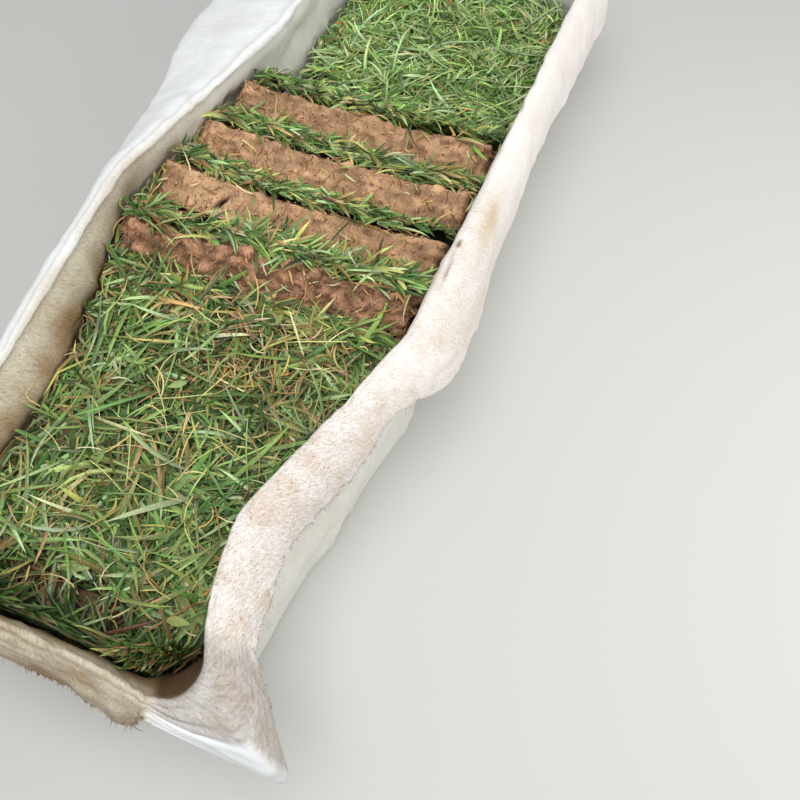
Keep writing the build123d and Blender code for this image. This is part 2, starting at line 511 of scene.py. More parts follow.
def side_at(side, y, z, clearance):
    """The x that keeps a clearance from the sack's wall, on its left (-1) or right (1)."""
    places, low, rim = np.transpose(LEFT_WALL if side < 0 else RIGHT_WALL)
    half = blend(np.interp(y, places, low), np.interp(y, places, rim) + RIM_FLARE, rim_share_at(z))
    return side * (half - clearance)


def across(share, y, z, left, right):
    """The x at a share of the way from the left wall to the right one, with these clearances kept."""
    return blend(side_at(-1, y, z, left), side_at(1, y, z, right), share)


def end_taper(y):
    """How far the sack's rounded corners come in from its sides at a place along it."""
    return CORNER * 0.5 * ease((np.maximum(NEAR_END - y, y - FAR_END) + CORNER) / CORNER)


def inside_sack(clearance):
    """A function that moves points clear of the sack's wall and off its floor."""
    def move(points):
        x, y, z = points[..., 0], points[..., 1], points[..., 2]
        y = np.clip(y, NEAR_END + clearance, FAR_END - clearance)
        low = side_at(-1, y, z, clearance) + end_taper(y)
        high = side_at(1, y, z, clearance) - end_taper(y)
        return xyz(np.clip(x, low, high), y, np.maximum(z, CLEARANCE))
    return move


# The sack's cloth, one sheet from its floor up the wall and over the rim into the folded flap

# How far out and how high the wall runs, and the fold after it, with its share of the far left spread
WALL = ((-0.0015, 0.0), (0.0018, 0.004), (0.0025, 0.014), (0.0062, 0.055), (0.0075, 0.1), (0.0058, 0.148),
        (0.0028, 0.190), (0.0064, 0.212), (0.0104, 0.225), (0.0112, 0.231), (0.0104, 0.2348))
FOLD = ((0.0104, 0.2348, 0.0), (0.0122, 0.2382, 0.0), (0.0158, 0.2386, 0.0), (0.0186, 0.2358, 0.02),
        (0.0212, 0.2338, 0.05), (0.0262, 0.2328, 0.14), (0.0325, 0.2275, 0.28), (0.0390, 0.2185, 0.48),
        (0.0445, 0.2085, 0.72), (0.0490, 0.1960, 1.0), (0.0512, 0.1780, 1.0), (0.0525, 0.1500, 1.0),
        (0.0535, 0.1200, 1.0), (0.0545, 0.0800, 1.0))
FAR_LEFT_SPREAD = 0.104
FOLD_STEPS = 160
# Row shares up the wall: coarse where the turf hides it, fine from there to the rim
WALL_SHARES = np.append(np.linspace(0, 0.70, 12, endpoint=False), 1 - 0.30 * np.linspace(1, 0, 14) ** 1.5)
FLAP_SHARES = np.linspace(0, 1, 36)[1:] ** 1.35
FLOOR_RINGS = (0.66, 0.33)
CLOTH_SHOWN = 0.0012

# How far each flap hangs below the rim: left and right by place along the sack, and the two ends
LEFT_DROPS = ((-0.5, 0.050), (-0.42, 0.066), (-0.3, 0.078), (-0.1, 0.086), (0.1, 0.110), (0.3, 0.146), (0.54, 0.140),
              (0.6, 0.092))
RIGHT_DROPS = ((-0.5, 0.060), (-0.44, 0.040), (-0.40, 0.046), (-0.35, 0.060), (-0.3, 0.064), (-0.22, 0.056),
               (-0.18, 0.040), (-0.145, 0.050), (-0.11, 0.074), (-0.05, 0.084), (0.08, 0.092), (0.2, 0.086),
               (0.54, 0.086), (0.6, 0.086))
NEAR_DROPS = ((-0.132, 0.050), (-0.05, 0.046), (0.05, 0.048), (0.152, 0.044))
FAR_DROP = 0.09
# How far the flap spreads, as a share of the fold's own spread: by place along the right side, and at the near end
RIGHT_SPREAD = ((-0.5, 1.0), (-0.08, 1.0), (0.02, 0.9), (0.12, 0.70), (0.6, 0.72))
NEAR_SPREAD = 0.60

# The near right corner stands out, and its flap is twisted at one side and pulled to a point at the other.
# Distances round the sack from its middle, where the pulled part, the twist and the tip are
CORNER_POINT = np.argmax(outline(0.0) @ (1, -1))
CORNER_LEAN = 0.020
CORNER_DROP = 0.085
PULLED = (-0.055, -0.018, 0.020, 0.058)
CORNER_TWIST = (0.147, -0.526, 0.226)
CORNER_TIP = (0.256, -0.526, 0.135)


def curve_through(keys, shares):
    """Points at these shares of the length of a smooth line through key points, and that length."""
    keys = np.array(keys)
    padded = np.concatenate([2 * keys[:1] - keys[1:2], keys, 2 * keys[-1:] - keys[-2:-1]])
    t = np.linspace(0, 1, 24, endpoint=False)[:, None]
    fine = [0.5 * (2 * b + (c - a) * t + (2 * a - 5 * b + 4 * c - d) * t ** 2 + (3 * b - a - 3 * c + d) * t ** 3)
            for a, b, c, d in zip(padded, padded[1:], padded[2:], padded[3:])]
    fine = np.concatenate(fine + [keys[-1:]])
    gone = distance_along(fine[:, :2])
    return np.stack([np.interp(shares * gone[-1], gone, column) for column in fine.T], axis=-1), gone[-1]


def near_share(out, start=0.3):
    """How much each point of the outline belongs to the near end, by the way out of the sack there."""
    return ease((-out[:, 1] - start) / 0.4)


def flap_drop(base, out):
    """How far the flap hangs below the rim at each point of the outline."""
    x, y = base.T
    drop = np.where(x < 0, read(LEFT_DROPS, y), read(RIGHT_DROPS, y))
    drop = blend(drop, read(NEAR_DROPS, x), near_share(out, 0.35))
    return smoothed(blend(drop, FAR_DROP, near_share(-out, 0.35)), 4)


def from_corner(gone):
    """Distance round the sack from the middle of its near right corner."""
    return gone - gone[CORNER_POINT]


def sack_rows():
    """The grid of the wall and flap before it is creased, ring by row. Gives also each row's share, the
    distance round the ring, each row's distance up the cloth, and the way out at each point of the ring."""
    base = outline(0.0)
    along = np.roll(base, -1, axis=0) - np.roll(base, 1, axis=0)
    out = unit(np.stack([along[:, 1], -along[:, 0]], axis=-1))
    gone = distance_along(base)
    corner = from_corner(gone)
    drop = blend(flap_drop(base, out), CORNER_DROP, between(corner, PULLED[1] - 0.006, PULLED[3], 0.02))
    # The hem wanders
    on_rim = xyz(*base.T, 0)
    drop = drop * (1 + 0.10 * noise(on_rim, 0.09, 51) + 0.05 * noise(on_rim, 0.03, 52)
                   - 0.22 * np.clip(noise(on_rim, 0.05, 53) - 0.55, 0, 1))
    lean = out * (CORNER_LEAN * bump(corner, 0.014, 0.045))[:, None]
    right = ease(out[:, 0] * 2)
    spread = blend(blend(1, read(RIGHT_SPREAD, base[:, 1]), right), NEAR_SPREAD, near_share(out, 0.5))
    wall, wall_length = curve_through(WALL, WALL_SHARES)
    rows = [xyz(*(outline(grow, 0.0, rim_share_at(z)) + lean * rim_share_at(z)).T, z) for grow, z in wall]
    # The fold is one family of rings. Each point of the rim follows it as far as its flap hangs
    steps = np.linspace(0, 1, FOLD_STEPS)
    fold, fold_length = curve_through(FOLD, steps)
    family = np.stack([xyz(*(outline(g, FAR_LEFT_SPREAD * s, 1.0) + lean).T, z) for g, z, s in fold], axis=1)
    crest = family[:, 0]
    reach = np.interp(drop, RIM - np.minimum.accumulate(fold[:, 1]), steps)

    def along_fold(share):
        """The row at a share of each flap's length, and how far out and down each point of it is."""
        place = reach * share * (FOLD_STEPS - 1)
        low = np.clip(np.floor(place).astype(int), 0, FOLD_STEPS - 2)
        part = (place - low)[:, None]
        pick = np.arange(len(base))
        row = blend(family[pick, low], family[pick, low + 1], part)
        gone_out, gone_down = (blend(fold[low], fold[low + 1], part) - fold[0])[:, :2].T
        row[:, :2] = blend(crest[:, :2], row[:, :2], spread[:, None])
        # A groove runs along the right fold, just outside the rim
        row[:, 2] -= 0.0034 * bump(gone_out, 0.0038, 0.0035) * right
        return row, gone_out, gone_down

    hem, hem_out, hem_down = along_fold(1.0)
    # The corner's hem runs straight from the near strip to the twist, the tip and the right strip
    ends = [hem[np.argmin(np.abs(corner - place))] for place in (PULLED[0], PULLED[3])]
    marks = np.array([ends[0], CORNER_TWIST, CORNER_TIP, ends[1]])
    pulled_hem = np.stack([np.interp(corner, PULLED, column) for column in marks.T], axis=-1)
    pulled = between(corner, PULLED[0], PULLED[3] + 0.012, 0.012)[:, None]
    for share in FLAP_SHARES:
        row, gone_out, gone_down = along_fold(share)
        outwards, down = gone_out / hem_out, gone_down / hem_down
        rows.append(blend(row, blend(crest, pulled_hem, xyz(outwards, outwards, down)), pulled))
    shares = np.append(WALL_SHARES - 1, FLAP_SHARES)
    lengths = np.append(WALL_SHARES * wall_length, wall_length + FLAP_SHARES * fold_length * reach.mean())
    return np.stack(rows, axis=1), shares, gone, lengths, out


def sharp_folds(gone, lengths, count, seed, low, high, size, depth):
    """Crisp straight creases in the cloth at random places, most of them running down it."""
    rng = draws(seed)
    around = gone[-1] + 0.005
    total = np.zeros((len(gone), len(lengths)))
    for _ in range(count):
        angle = rng.normal(0.25, 0.5)
        away = ((gone - rng.uniform(0, around) + around / 2) % around - around / 2)[:, None]
        up = lengths - rng.uniform(low, high)
        along = away * sin(angle) + up * cos(angle)
        across = away * cos(angle) - up * sin(angle)
        ridge = np.clip(1 - np.abs(across) / rng.uniform(*size), 0, 1)
        total += rng.choice((-1, 1)) * rng.uniform(*depth) * ridge * bump(along, 0, rng.uniform(0.02, 0.07))
    return total


def crease(grid, shares, gone, lengths, out):
    """Moves the cloth's points by its creases and waves. Gives also each one's place on a round tube, for noise."""
    turn = 2 * pi * gone[:, None] / (gone[-1] + 0.006)
    round_size = gone[-1] / (2 * pi)
    flat = xyz(np.cos(turn) * round_size, np.sin(turn) * round_size, lengths)
    z = grid[..., 2]
    above_turf = ease((z - 0.165) / 0.05)
    flap = np.clip(shares, 0, 1)
    wall = shares < 0
    rim_length = lengths[np.searchsorted(shares, 0)]
    on_flap = (rim_length - 0.05, lengths[-1])
    on_wall = (0.02, rim_length - 0.04)
    folds = sharp_folds(gone, lengths, 150, 3, *on_flap, (0.006, 0.020), (0.0008, 0.0026))
    folds += sharp_folds(gone, lengths, 260, 4, *on_flap, (0.003, 0.007), (0.0003, 0.0010))
    pleats = np.abs(sharp_folds(gone, lengths, 110, 8, *on_wall, (0.012, 0.036), (0.004, 0.011)))
    pleats += sharp_folds(gone, lengths, 170, 9, *on_wall, (0.006, 0.015), (0.002, 0.006))
    # The wall bulges a little round each layer of slabs
    pleats += 0.004 * np.abs(np.sin(pi * lengths / (SOIL + SWARD)))
    # The near strip is wrinkled more, and its wrinkles run along it
    wrinkles = 0.018 * (0.4 - np.abs(noise(flat, (0.05, 0.05, 0.012), 14)))
    wrinkles = wrinkles * near_share(out)[:, None] * flap * (1 - flap)
    move = fractal(flat, (0.11, 0.11, 0.16), 2, 9) * np.where(wall, 0.0042 - 0.0008 * above_turf, 0.001 + 0.0045 * flap)
    move = move + folds * np.where(wall, above_turf, 1.0) + wrinkles + pleats * np.where(wall, 1 - above_turf, 0)
    # Under the turf line the wall presses on the slabs, so it may only bulge outwards
    move = np.where(wall & (z < 0.17), np.abs(move) * 0.6, move)
    round_it = np.roll(grid, -1, axis=0) - np.roll(grid, 1, axis=0)
    normal = unit(np.cross(round_it, np.gradient(grid, axis=1)))
    moved = grid + normal * (move * ease(z / 0.02))[..., None]
    # The rim itself rises and falls
    on_rim = flat[:, 0] * (1, 1, 0)
    height = noise(on_rim, 0.16, 21) * 0.0042 + noise(on_rim, 0.035, 22) * 0.0012
    moved[..., 2] += height[:, None] * ease((z - 0.15) / 0.08)
    return moved, flat


# A tan stain, a soiled crease and a dark spot on the right flap: place along the sack and half length,
# share of the flap's depth there and its slope, half depth, strength and colour
MARKS = ((0.075, 0.030, 0.30, 0, 0.12, 0.6, (0.80, 0.68, 0.52)),
         (-0.02, 0.022, 0.09, -0.6, 0.012, 0.6, (0.48, 0.36, 0.30)),
         (0.018, 0.0042, 0.075, 0, 0.022, 1, (0.30, 0.17, 0.12)))


def cloth_colours(grid, flat, shares, gone, out):
    """The cloth's soiling: clean on the left flap, brown on the near one, rubbed and stained on the right.
    Gives a colour and how much of the fine dirt shows."""
    y, z = grid[..., 1:2], grid[..., 2:]
    depth = shares[:, None]
    flap = depth >= 0
    near = near_share(out)[:, None, None]
    to_right = ease(0.5 + out[:, 0] * 0.6)[:, None, None]
    right, left = to_right * (1 - near), (1 - to_right) * (1 - near)
    past_corner = from_corner(gone)[:, None, None]
    corner = between(past_corner, PULLED[1] - 0.008, PULLED[3] + 0.006, 0.016)
    soiled = np.clip(0.5 + 0.5 * fractal(flat, (0.04, 0.04, 0.06), 3, 31), 0, 1)[..., None]
    far = ease((y - 0.05) / 0.15)
    beyond = ease((y + 0.13) / 0.18)
    low = ease((0.232 - z) / 0.04)
    # Away from the near end, and most at the far end, the inner wall is less soiled and paler in tone: partly real,
    # partly painted light
    wall_dirt = (0.14 + 0.80 * low * (0.35 + soiled)) * (1 - 0.75 * beyond) * (1 - 0.8 * far) + 0.3 * near
    flap_dirt = left * 0.02 * soiled + right * 0.08 * soiled * (1 - 0.6 * far) + near * (0.06 + 0.85 * soiled ** 1.5)
    dirt = np.clip(np.where(flap, blend(flap_dirt, 0.06 * soiled, corner), wall_dirt), 0, 1)
    flap_tone = blend(CLEAN * left + RUBBED * right + INNER * near, GREY_CLOTH, corner)
    ground = np.where(flap, flap_tone, blend(INNER, INNER_FAR_CLEAN_AND_LIT, 0.5 * beyond + 0.5 * far))
    tone = np.where(dirt < 0.5, blend(ground, BEIGE, dirt * 2), blend(BEIGE, BROWN, dirt * 2 - 1))
    # The near strip's cut edge is the brownest. The hem at the right corner is bright
    tone = blend(tone, BROWN, ease((depth - 0.74) / 0.10) * 0.4 * near * (1 - corner))
    bright = ease((depth - 0.30) / 0.08) * ease((PULLED[2] + 0.004 - past_corner) / 0.006)
    tone = blend(tone, CLEAN, bright * 0.95 * corner)
    # The left crest is a thin tan ridge, and the wall below the near right corner is painted as soil, darkened with
    # painted shade of its hollow
    tone = blend(tone, BEIGE * 1.06, 0.55 * bump(depth, 0.03, 0.030) * left * (1 - 0.7 * far) * (0.3 + soiled))
    soil_and_shade = np.clip(corner * ease((0.237 - z) / 0.02) * (0.8 + 0.5 * soiled), 0, 1) * ~flap
    tone = blend(tone, SOIL_IN_SHADE * (0.7 + 0.5 * soiled), soil_and_shade)
    for place, half, deep, slope, half_deep, strength, colour in MARKS:
        mark = bump(y, place, half) * bump(depth, deep + slope * (y - place), half_deep) * strength
        tone = blend(tone, np.array(colour), mark * right * flap)
    nearby = ease((-0.12 - y) / 0.15)
    fine = 0.28 * left + (0.55 - 0.3 * far + 0.45 * nearby) * right + 0.9 * near * (1 - corner)
    fine = blend(fine, 0.9 * (1 - bright), corner)
    # The wall's fine dirt thins out towards the far end: partly real, partly painted light
    return tone, np.clip(np.where(flap, fine, 0.85 - 0.35 * beyond - 0.38 * far), 0, 1)


def torn_at(hem, gone):
    """How torn the hem is: most along the near half of the right side, some at the near end."""
    right = ease((-0.16 - hem[:, 1]) / 0.1) * (hem[:, 0] > 0)
    near = 0.12 * ease((-0.50 - hem[:, 1]) / 0.02)
    return np.maximum(right, near) * (1 - between(from_corner(gone), PULLED[1] - 0.01, PULLED[3] - 0.01, 0.02))


def make_sack():
    """The cloth. Gives also its grid, how torn its hem is and its colours."""
    grid, shares, gone, lengths, out = sack_rows()
    grid, flat = crease(grid, shares, gone, lengths, out)
    # The cut edge is uneven
    ragged = fractal(flat[:, 0] * (1, 1, 0), 0.011, 3, 44) * (1 + 2.4 * torn_at(grid[:, -1], gone))
    pull = np.clip((shares - 0.85) / 0.15, 0, 1)[:, None] * 0.0026 * ragged[:, None, None]
    grid = grid + unit(np.gradient(grid, axis=1)) * pull
    tone, fine = cloth_colours(grid, flat, shares, gone, out)
    tinted = np.concatenate([linear(tone), fine], axis=-1)
    ring, rows = grid.shape[:2]
    index = np.arange(ring * rows).reshape(ring, rows)
    after = np.roll(index, -1, axis=0)
    faces = np.stack([index[:, :-1], after[:, :-1], after[:, 1:], index[:, 1:]], axis=-1).reshape(-1, 4).tolist()
    # The floor: smaller rings and a middle point
    floor = [grid[:, 0] * (size, size, 1) for size in FLOOR_RINGS]
    last = index[:, 0]
    middle = ring * (rows + len(floor))
    for here in np.arange(ring * rows, middle).reshape(-1, ring):
        faces += np.stack([np.roll(last, -1), last, here, np.roll(here, -1)], axis=-1).tolist()
        last = here
    faces += np.stack([np.roll(last, -1), last, np.full(ring, middle)], axis=-1).tolist()
    points = np.concatenate([grid.reshape(-1, 3), *floor, np.zeros((1, 3))])
    colours = np.concatenate([tinted.reshape(-1, 4), *[tinted[:, 0]] * len(floor), tinted[:1, 0]])
    up_wall = np.stack(np.broadcast_arrays(gone[:, None], lengths), axis=-1).reshape(-1, 2)
    uvs = np.concatenate([up_wall, points[ring * rows:, :2]])
    made = mesh_object("sack_cloth", points, faces, colours, (cloth_outside, cloth_inside), uvs)
    thick = made.modifiers.new("thick", "SOLIDIFY")
    thick.thickness = CLOTH_SHOWN
    thick.offset = -1
    thick.material_offset = 1
    thick.material_offset_rim = 1
    thick.use_even_offset = False
    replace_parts(made, "sack")
    return made, grid, torn_at(grid[:, -1], gone), tone


# The loose tape ends along the hem, the share of them that are broad tatters, and how far in they start
FRAYED_ENDS = 3000
TATTERS = 0.12
HEM_OVERLAP = 0.001


def fray(grid, torn, tone):
    """Loose tape ends and tatters along the cut edge of the flap, most where it is torn."""
    rng = draws(5)
    count = FRAYED_ENDS
    chance = 0.05 + torn
    ring = rng.choice(len(grid), count, p=chance / chance.sum())
    hem = grid[:, -1]
    down = unit(hem[ring] - grid[ring, -3])
    start = hem[ring] - down * HEM_OVERLAP + (np.roll(hem, -1, axis=0) - hem)[ring] * rng.random((count, 1))
    heading = np.arctan2(down[:, 1], down[:, 0]) + rng.normal(0, 0.7, count)
    rise = np.arcsin(np.clip(down[:, 2], -0.98, 0.98)) + rng.normal(0, 0.3, count)
    broad = rng.random(count) < TATTERS
    length = np.where(broad, rng.uniform(0.003, 0.007, count), rng.gamma(2.0, 0.0022, count) + 0.0015)
    width = np.where(broad, rng.uniform(0.0020, 0.0045, count), rng.uniform(0.0004, 0.0011, count))
    colours = linear(np.clip(tone[ring, -3] * rng.uniform(0.85, 1.05, (count, 1)), 0, 1))
    return ribbons("sack_frayed_edge", start, heading, rise, rng.normal(0, 0.6, count), rng.normal(0, 0.8, count),
                   length, width, rng.normal(0, 0.5, count), colours, cloth_inside, (1, 0.85), painted_root_shade=1.0)


# Turf slabs

# How far a flat slab's thatch stands over its soil and the slab keeps off the walls, and the heights of wall that
# the slabs keep clear of
THATCH_RISE = 0.004
FLAT_GAP = SIDE_GAP + 0.002
FLAT_HEIGHT = 0.1
LEANING_HEIGHT = 0.16

# The cells across and through a slab on edge, and its rows down from its cut edge: fine where they show
ACROSS, THROUGH = 150, 18
DOWN = np.append(np.arange(0, 0.034, 0.003), np.linspace(0.038, 0.23, 8))

# The four bands of soil, from the near one to the far one
BAND_TONES = ((0.76, 0.58, 0.46), (0.86, 0.69, 0.54), (0.83, 0.665, 0.52), (0.82, 0.655, 0.51))
ROUGHNESS = (1.7, 0.8, 0.85, 0.95)
LEFT_ROUND = (0.024, 0.026, 0.016, 0.014)
RIGHT_ROUND = 0.020
LEFT_GAP = 0.003
# Where each cut edge is smooth: middle, half length, how smooth
SMOOTH_CUT = ((0.0, 0.02, 0.0), (-0.105, 0.085, 1.0), (-0.05, 0.05, 0.45), (0.02, 0.03, 0.25))
# The cracked band: the crack's middle across and through the slab, its turn, half sizes and depth
CRACKED = 1
CRACK = (-0.088, 0.019, radians(50))
CRACK_SIZE = (0.011, 0.0024, 0.006)
# The grass behind each band: how many tufts, how long its blades are and how far they stray aside
STRIPS = ((520, 0.033, 0.60), (330, 0.022, 0.45), (430, 0.026, 0.50), (100, 0.024, 0.5))

# The near mat: its cut edge, how far that slopes back, and where soil shows in it
NEAR_EDGE = -0.456
NEAR_SLOPE = 0.014
BARE_PATCH = (0.040, -0.186)
BARE_SIZE = (0.052, 0.030)


def soil_block(node, points, quads, tone):
    """The soil that takes a solid's place."""
    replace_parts(mesh_object(f"{node}_soil", points, quads, linear(tone), (soil,)), node)


def flat_slab(node, cell=0.012, roughness=1.0, seed=0, slope=0.0):
    """A slab that lies flat: a rough block of soil with thatch on top. Its near edge may slope back."""
    low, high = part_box(node)
    top = high.z - SWARD
    counts = [max(3, round(side / cell)) for side in (high.x - low.x, high.y - low.y, SOIL)]
    cells, quads = block_surface(counts)
    u, v, w = (cells / np.array(counts)).T
    y = low.y + (high.y - low.y) * v + slope * ease((w - 0.35) / 0.65) * (1 - v) ** 6
    left = np.maximum(low.x, side_at(-1, y, FLAT_HEIGHT, FLAT_GAP)) + end_taper(y)
    right = np.minimum(high.x, side_at(1, y, FLAT_HEIGHT, FLAT_GAP)) - end_taper(y)
    points = xyz(blend(left, right, u), y, blend(low.z, top + THATCH_RISE, w))
    normal = normals_of(points, quads)
    rough = fractal(points, 0.05, 2, seed) * 0.003 + fractal(points, 0.014, 2, seed + 7) * 0.0016
    points = points + normal * (rough * roughness - 0.002)[:, None]
    edge = np.minimum(u * (1 - u), v * (1 - v)) * 4
    points[:, 2] -= (1 - ease(edge * 6)) * 0.004 * (w > 0.9)
    points[:, 2] = np.maximum(points[:, 2], low.z)
    mottle = (0.5 + 0.5 * fractal(points, 0.03, 3, seed + 11))[:, None]
    # The thatch on top is darkened with painted shade
    on_top = ease((w - 0.8) / 0.15)[:, None] * (0.75 + 0.25 * mottle)
    on_top = on_top * (1 - (v[:, None] < 0.02) * (slope > 0))
    return points, quads, blend(blend(SOIL_DARK, SOIL_MID, mottle), THATCH_PAINTED_SHADE, on_top)


def slab_sag(x, index):
    """How far a slab on edge is bent towards the far end at its ends, and runs askew. The first one's left
    end lies nearer."""
    nearer = 0.013 * ease((-x - 0.01) / 0.12) if index == 0 else 0
    return 0.030 * x + 0.26 * x ** 2 - 0.004 - nearer


def end_rounding(index, x, y):
    """How far a slab's cut edge is rounded off towards its ends."""
    from_end = np.minimum(x - side_at(-1, y, LEANING_HEIGHT, LEFT_GAP), side_at(1, y, LEANING_HEIGHT, SIDE_GAP) - x)
    radius = np.where(x < 0, LEFT_ROUND[index], RIGHT_ROUND)
    missing = np.clip(radius - from_end, 0, radius)
    return radius - np.sqrt(np.maximum(radius ** 2 - missing ** 2, 0))


def leaning_slab(index, seed):
    """A slab on edge, with its cut soil edge up. Gives its mesh, the cut edge's points and its low corner."""
    low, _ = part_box(f"turf_leaning_{index + 1}")
    cells, quads = block_surface([ACROSS, THROUGH, len(DOWN) - 1])
    # Places on the slab: x across the sack, a from its soil face to its grass face, b down from its cut edge
    a = cells[:, 1] / THROUGH * SOIL
    b = DOWN[len(DOWN) - 1 - cells[:, 2]]
    y = low.y + a * sin(LEAN) + b * cos(LEAN)
    x = across(cells[:, 0] / ACROSS, y, LEANING_HEIGHT, LEFT_GAP, SIDE_GAP)
    # The ends of the cut edge are rounded, its line wanders, and the slab's foot stays on the sack's floor
    wander = end_rounding(index, x, y) + noise(xyz(x, index * 0.7, 0), 0.06, seed) * 0.0045
    b = np.minimum(b + wander * np.exp(-b / 0.05), (LEAN_TOP + a * cos(LEAN) - CLOTH - 0.001) / sin(LEAN))
    y = low.y + a * sin(LEAN) + b * cos(LEAN) + slab_sag(x, index)
    points = xyz(x, y, LEAN_TOP + a * cos(LEAN) - b * sin(LEAN))
    normal = normals_of(points, quads)
    # The cut is smooth where the spade went through and crumbly elsewhere
    place = xyz(x, a + index, b)
    middle, half, how_smooth = SMOOTH_CUT[index]
    smooth = np.clip(how_smooth * ease((middle + half - x) / 0.05) * ease((x - middle + 0.05) / 0.05), 0, 1)
    smooth = smooth * (0.75 + 0.25 * noise(place, 0.03, seed + 5))
    rough = ROUGHNESS[index] * (1 - 0.8 * smooth)
    lumps = fractal(place, 0.045, 2, seed) * 0.0028 * (0.5 + 0.5 * rough)
    clods = (np.abs(fractal(place, (0.016, 0.013, 0.02), 2, seed + 3)) - 0.35) * 0.0052 * rough
    grains = fractal(place, 0.0065, 2, seed + 9) * 0.0011 * rough
    points = points + normal * (lumps + clods + grains - 0.001)[:, None]
    chip = np.clip(noise(place, (0.014, 1, 0.02), seed + 13), 0, 1) * 0.004 * rough
    points[:, 2] -= chip * (np.minimum(a, SOIL - a) < 0.002) * (b < 0.01)
    points[:, 2] = np.maximum(points[:, 2], CLOTH + 0.0005)
    # Painted shade: the hollows between the clods are darker
    hollow = np.clip(0.5 - clods / 0.004, 0, 1)
    mottle = np.clip(0.55 + 0.5 * fractal(place, (0.02, 0.01, 0.05), 3, seed + 17), 0, 1)
    tone = np.array(BAND_TONES[index]) * (0.84 + 0.26 * mottle[:, None])
    tone = blend(tone, SOIL_TAN, (0.85 * smooth)[:, None])
    tone = blend(tone, SOIL_DARK, np.clip(0.32 * hollow * rough * (1 - smooth), 0, 1)[:, None])
    # Painted shade: darker further down the slab, where it goes in between it and the next
    tone = blend(tone, SOIL_DARK, 0.5 * ease((b - 0.02) / 0.05)[:, None])
    if index == CRACKED:
        right, through, turn = CRACK
        along = (x - right) * cos(turn) + (a - through) * sin(turn)
        aside = -(x - right) * sin(turn) + (a - through) * cos(turn)
        long, wide, deep = CRACK_SIZE
        slit = (bump(along, 0, long) * bump(aside, 0, wide) * (b < 0.004))[:, None]
        points -= normal * slit * deep
        # The crack is darkened with painted shade
        tone = blend(tone, SOIL_DARK * 0.5, np.clip(slit * 1.5, 0, 1))
    return points, quads, tone, normal, np.flatnonzero((b < 0.012) & (a > 0.001)), low


# Grass and loose bits

def mix_colours(rng, count, palette, weights):
    """One linear colour for each blade, picked from a palette and varied a little."""
    pick = rng.choice(len(palette), count, p=np.array(weights) / sum(weights))
    base = np.array(palette)[pick] * rng.normal(1, 0.15, (count, 1)) + rng.normal(0, 0.02, (count, 3))
    return linear(np.clip(base, 0.02, 0.95))


def scatter(rng, count, low_y, high_y, z):
    """Random places at one height between two ends of the sack, inside its walls."""
    y = rng.uniform(low_y, high_y, count)
    return xyz(across(rng.random(count), y, z, 0.012, 0.012), y, z)


def either_way(rng, count, share, spread, first=0.0):
    """Headings across the sack: this share of them one way, the rest the other way."""
    return np.where(rng.random(count) < share, rng.normal(first, spread, count), rng.normal(pi - first, spread, count))


def mat(name, centres, seed, heading=None, per_tuft=4, length=0.034, width=0.0034, rise=(-0.05, 0.42), droop=(0.1, 0.9),
        fan=0.4, weights=(30, 18, 22, 14, 16), dry=0.08, clearance=CLEARANCE, painted_shading=1.0, shape=BLADE):
    """A mat of grass blades in tufts at these centres, each tuft fanned out from its own heading.
    Weights say how much of it is each green, and dry what share is dead. Painted shading multiplies their colours:
    below 1 it is painted shade, above 1 painted light."""
    rng = draws(seed)
    if heading is None:
        heading = rng.uniform(-pi, pi, len(centres))
    count = len(centres) * per_tuft
    start = np.repeat(centres, per_tuft, axis=0) + rng.normal(0, 0.0016, (count, 3)) * (1, 1, 0.6)
    yaw = np.repeat(heading, per_tuft) + rng.normal(0, fan, count)
    colours = mix_colours(rng, count, GREENS, weights)
    dead = rng.random(count) < dry
    colours[dead] = mix_colours(rng, int(dead.sum()), DRY, (4, 3, 2, 2))
    # The blades are darker towards their roots with painted shade
    ribbons(name, start, yaw, rng.uniform(*rise, count), rng.uniform(*droop, count), rng.normal(0, 0.5, count),
            np.clip(rng.normal(length, length * 0.32, count), 0.014, 0.11),
            np.clip(rng.normal(width, width * 0.26, count), 0.0016, 0.0080), rng.normal(0, 0.6, count),
            colours * painted_shading, grass, shape, inside=inside_sack(clearance), painted_root_shade=0.38)


def bare(points):
    """How bare the near mat is: 1 in the middle of its bare patch, and fading out round it."""
    return bump(points[:, 0], BARE_PATCH[0], BARE_SIZE[0]) * bump(points[:, 1], BARE_PATCH[1], BARE_SIZE[1])


def growing(points, rng):
    """The places where grass grows: few in the bare patch, beside the near cut edge and at the left wall."""
    keep = rng.random(len(points)) > bare(points) * 2.4
    from_wall = points[:, 0] - side_at(-1, points[:, 1], points[:, 2], 0.0)
    chance = ease((points[:, 1] - NEAR_EDGE) / 0.02 + 0.2) * (0.35 + 0.65 * ease(from_wall / 0.03))
    return points[keep & ((rng.random(len(points)) < chance) | (points[:, 0] > 0.10))]


def turned_from_edges(points, rng):
    """Random headings, turned back from the near cut edge and from the first slab on edge."""
    heading = rng.uniform(-pi, pi, len(points))
    near = (points[:, 1] < NEAR_EDGE + 0.045) & (points[:, 0] < 0.09) & (np.sin(heading) < 0)
    far = (points[:, 1] > -0.145) & (np.sin(heading) > 0)
    return np.where(near | far, -heading, heading)


